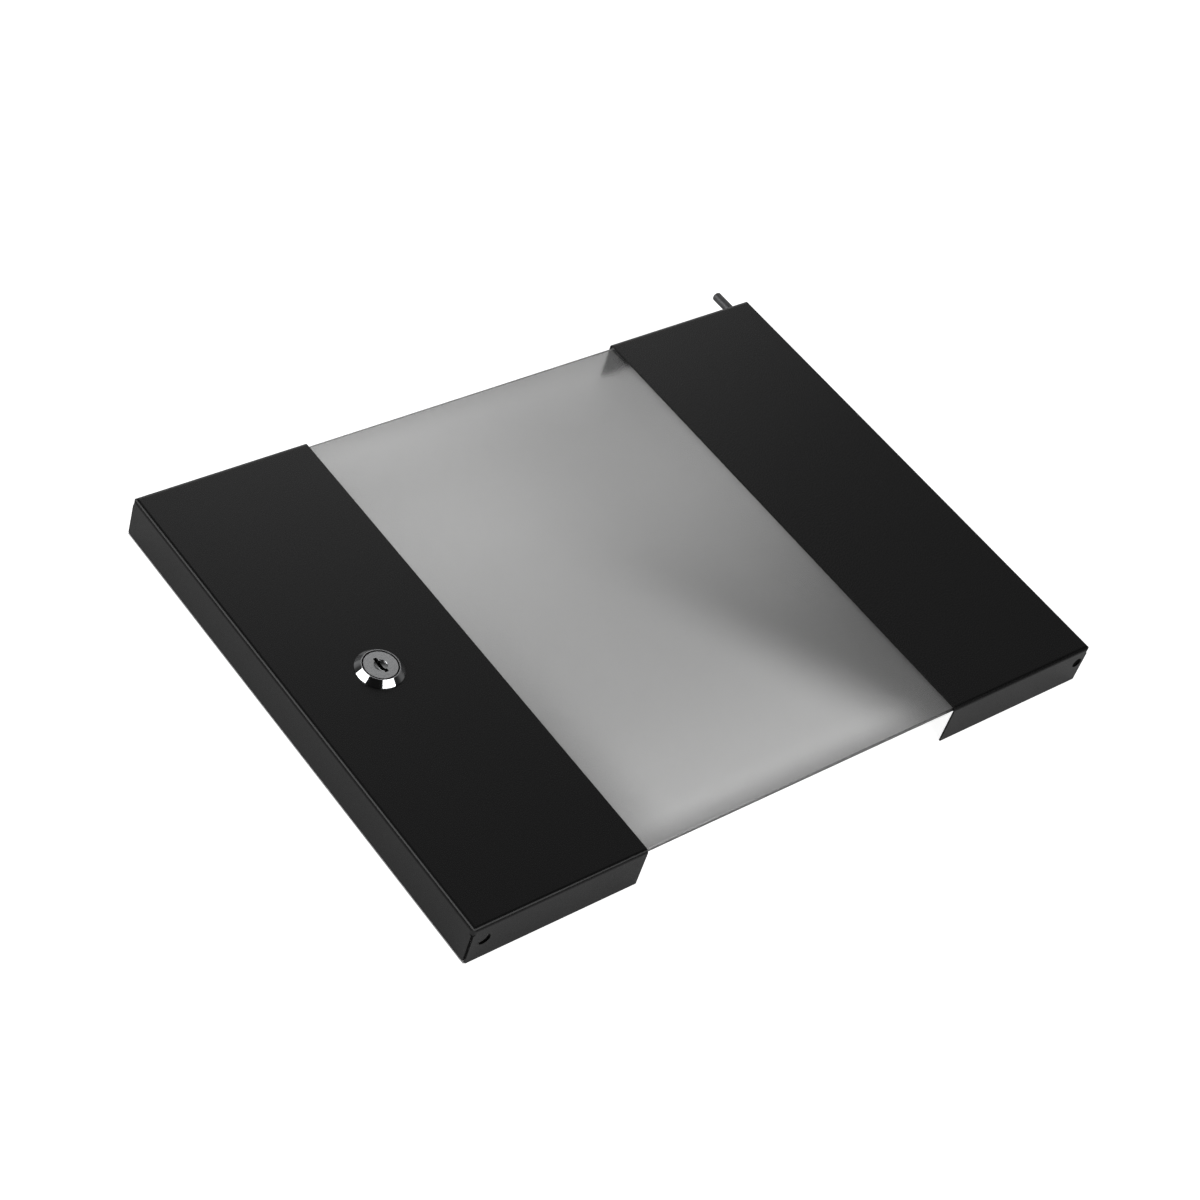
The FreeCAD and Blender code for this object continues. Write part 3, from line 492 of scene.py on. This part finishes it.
tree.links.new(add_node(tree, "TexCoord").outputs["Object"], floor_place.inputs[0])
floor_x = floor_place.outputs["X"]
floor_y = floor_place.outputs["Y"]

# the camera sees it white, apart from the dark floor inside the stiles, where no light comes in
FLOOR_SEEN = 0.91
FLOOR_IN_METAL = 0.09
FLOOR_LIT_STRIP = 0.03
FLOOR_RIM = 0.0003


def between(tree, value, low, high):
    """1 where a value lies between two limits, else 0."""
    above = add_math(tree, "GREATER_THAN", value, low)
    return add_math(tree, "MULTIPLY", above, add_math(tree, "LESS_THAN", value, high))


lock_low, lock_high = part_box("lock_stile")
hinge_low, hinge_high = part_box("hinge_stile")
in_lock_stile = between(tree, floor_x, lock_low.x + FLOOR_RIM, lock_high.x - FLOOR_LIT_STRIP)
in_hinge_stile = between(tree, floor_x, hinge_low.x + FLOOR_LIT_STRIP, hinge_high.x - FLOOR_RIM)
along_stile = between(tree, floor_y, lock_low.y + FLOOR_RIM, lock_high.y - FLOOR_RIM)
in_stile = add_math(tree, "MULTIPLY", add_math(tree, "ADD", in_lock_stile, in_hinge_stile), along_stile)
in_open = add_math(tree, "MULTIPLY", add_math(tree, "SUBTRACT", 1.0, in_stile), FLOOR_SEEN)
seen = add_math(tree, "MULTIPLY", ray.outputs["Is Camera Ray"], in_open)
in_metal = add_math(tree, "MULTIPLY", ray.outputs["Is Glossy Ray"], FLOOR_IN_METAL)

# through the pane it shows painted light and a painted shadow, as a glow for rays through the glass: a pool
# that stands for light coming in under the near end, with the right stile's shadow painted across it, and one
# for light under the far end, weaker to the right; each span gives where a level starts and where it is
# reached
NEAR_LIGHT = 0.69
NEAR_LIGHT_SPAN = 0.01, 0.155
NEAR_LIGHT_LEFT = 0.36
NEAR_LEFT_SPAN = -0.220, -0.185
NEAR_LIGHT_EDGE = 0.12
NEAR_EDGE_SPAN = 0.0085, 0.0205
SHADE_CORNER = -0.0705
SHADE_LEAN = 0.89, 0.44
SHADE_BLUR = 0.017
FAR_LIGHT = 0.575
FAR_LIGHT_SPAN = 0.045, 0.165
FAR_LIGHT_RIGHT = 0.66
FAR_RIGHT_SPAN = -0.18, -0.095
FAR_LIGHT_END = 0.70
FAR_END_SPAN = 0.175, 0.225
FAR_LIGHT_EDGE = 0.68
FAR_EDGE_SPAN = 0.218, 0.229


def soft_step(tree, value, span, low, high):
    """The value that goes smoothly from low to high while another goes over a span."""
    made = add_node(tree, "MapRange", From_Min=span[0], From_Max=span[1], To_Min=low, To_Max=high)
    made.interpolation_type = "SMOOTHSTEP"
    tree.links.new(value, made.inputs["Value"])
    return made.outputs[0]


across = add_math(tree, "MULTIPLY", add_math(tree, "SUBTRACT", floor_x, SHADE_CORNER), SHADE_LEAN[0])
beside = add_math(tree, "ADD", across, add_math(tree, "MULTIPLY", floor_y, SHADE_LEAN[1]))
painted_near_light = soft_step(tree, floor_y, NEAR_LIGHT_SPAN, NEAR_LIGHT, 0.0)
for share in (
    soft_step(tree, beside, (-SHADE_BLUR, SHADE_BLUR), 1.0, 0.0),
    soft_step(tree, floor_x, NEAR_LEFT_SPAN, NEAR_LIGHT_LEFT, 1.0),
    soft_step(tree, floor_y, NEAR_EDGE_SPAN, NEAR_LIGHT_EDGE, 1.0),
):
    painted_near_light = add_math(tree, "MULTIPLY", painted_near_light, share)
painted_far_light = soft_step(tree, floor_y, FAR_LIGHT_SPAN, 0.0, FAR_LIGHT)
for share in (
    soft_step(tree, floor_x, FAR_RIGHT_SPAN, 1.0, FAR_LIGHT_RIGHT),
    soft_step(tree, floor_y, FAR_END_SPAN, 1.0, FAR_LIGHT_END),
    soft_step(tree, floor_y, FAR_EDGE_SPAN, 1.0, FAR_LIGHT_EDGE),
):
    painted_far_light = add_math(tree, "MULTIPLY", painted_far_light, share)
painted_light_under_pane = add_math(tree, "ADD", painted_near_light, painted_far_light)
# the floor glows with this painted light and painted shadow only for rays through the pane
through = add_math(tree, "MULTIPLY", ray.outputs["Is Transmission Ray"], painted_light_under_pane)
glow = add_math(tree, "ADD", add_math(tree, "ADD", seen, in_metal), through)
tree.links.new(glow, surface.inputs["Emission Strength"])

from_below = tree.nodes.new("ShaderNodeMixShader")
underneath = add_node(tree, "NewGeometry").outputs["Backfacing"]
tree.links.new(add_math(tree, "MAXIMUM", underneath, ray.outputs["Is Shadow Ray"]), from_below.inputs[0])
tree.links.new(surface.outputs[0], from_below.inputs[1])
tree.links.new(add_node(tree, "BsdfTransparent").outputs[0], from_below.inputs[2])
tree.links.new(from_below.outputs[0], tree.nodes["Material Output"].inputs["Surface"])
floor_mesh.materials.append(floor_finish)


# Studio light: two softboxes beside the camera and one under the floor for the back, and a surround that is
# pale at the horizon and on the wall beyond the door, and dark overhead.

SOFTBOX_REACH = 1.3
# name, direction from the door's middle, way that the width runs, width, height, watts
SOFTBOXES = (
    ("left_softbox", (-0.72, 0.33, 0.53), (-0.15, -0.69, 0.24), 1.05, 0.55, 7.3),
    ("right_softbox", (0.155, -0.735, 0.575), (0.78, 0.0, -0.21), 1.10, 0.55, 6.4),
    ("back_softbox", (-0.25, -0.35, -0.90), (1.0, 0.0, 0.0), 1.4, 1.4, 8.0),
)


def add_softbox(name, toward, along, wide, high, watts):
    """A rectangular lamp at a distance from the door's middle, facing it. along is the way its width runs."""
    middle = (cad_low + cad_high) / 2
    back = Vector(toward).normalized()
    side = Vector(along)
    side = (side - side.dot(back) * back).normalized()
    lamp = bpy.data.lights.new(name, "AREA")
    lamp.shape = "RECTANGLE"
    lamp.size = wide
    lamp.size_y = high
    lamp.energy = watts
    stand = bpy.data.objects.new(name, lamp)
    axes = Matrix((side, back.cross(side), back)).transposed()
    stand.matrix_world = Matrix.Translation(middle + back * SOFTBOX_REACH) @ axes.to_4x4()
    bpy.context.scene.collection.objects.link(stand)


for softbox in SOFTBOXES:
    add_softbox(*softbox)

HORIZON_FALL = (0.0, 0.15), (0.17, 0.13), (0.24, 0.05), (0.32, 0.02), (0.60, 0.008)
WALL_TOWARD = 0.5087, 0.7266, 0.4617
WALL_GLOWS = ((0.50, 0.94), 0.20), ((0.945, 0.985), 1.6)
world = bpy.data.worlds.new("surround")
bpy.context.scene.world = world
world.use_nodes = True
tree = world.node_tree
background = tree.nodes["Background"]
way = add_node(tree, "TexCoord").outputs["Generated"]
way_parts = add_node(tree, "SeparateXYZ")
tree.links.new(way, way_parts.inputs[0])
fall = add_node(tree, "ValToRGB")
tree.links.new(way_parts.outputs["Z"], fall.inputs[0])
stops = fall.color_ramp.elements
while len(stops) < len(HORIZON_FALL):
    stops.new(0.5)
for stop, (position, level) in zip(stops, HORIZON_FALL):
    stop.position = position
    stop.color = (level, level, level, 1)
toward_wall = tree.nodes.new("ShaderNodeVectorMath")
toward_wall.operation = "DOT_PRODUCT"
toward_wall.inputs[1].default_value = Vector(WALL_TOWARD).normalized()
tree.links.new(way, toward_wall.inputs[0])
surround = fall.outputs[0]
for span, level in WALL_GLOWS:
    wall = soft_step(tree, toward_wall.outputs["Value"], span, 0.0, level)
    surround = add_math(tree, "ADD", surround, wall)
ray = add_node(tree, "LightPath")
strength = add_math(tree, "MAXIMUM", surround, ray.outputs["Is Camera Ray"])
background.inputs["Color"].default_value = (1, 1, 1, 1)
tree.links.new(strength, background.inputs["Strength"])
bpy.context.scene.view_settings.view_transform = "Standard"


# The camera stands to the left of the door's near end and looks down on it at 44 degrees,
# turned a little about its own axis.

CAMERA_PLACE = -0.73376, -0.35611, 0.71045
CAMERA_RIGHT = 0.771145, -0.589615, 0.240187
CAMERA_UP = 0.300035, 0.669300, 0.679718
CAMERA_LENS = 82.275
CAMERA_SENSOR = 36.0
CAMERA_NEAREST = 0.02
lens = bpy.data.cameras.new("camera")
lens.sensor_width = CAMERA_SENSOR
lens.lens = CAMERA_LENS
lens.clip_start = CAMERA_NEAREST
camera = bpy.data.objects.new("camera", lens)
right = Vector(CAMERA_RIGHT)
up = Vector(CAMERA_UP)
axes = Matrix((right, up, right.cross(up))).transposed()
camera.matrix_world = Matrix.Translation(CAMERA_PLACE) @ axes.to_4x4()
bpy.context.scene.collection.objects.link(camera)
bpy.context.scene.camera = camera
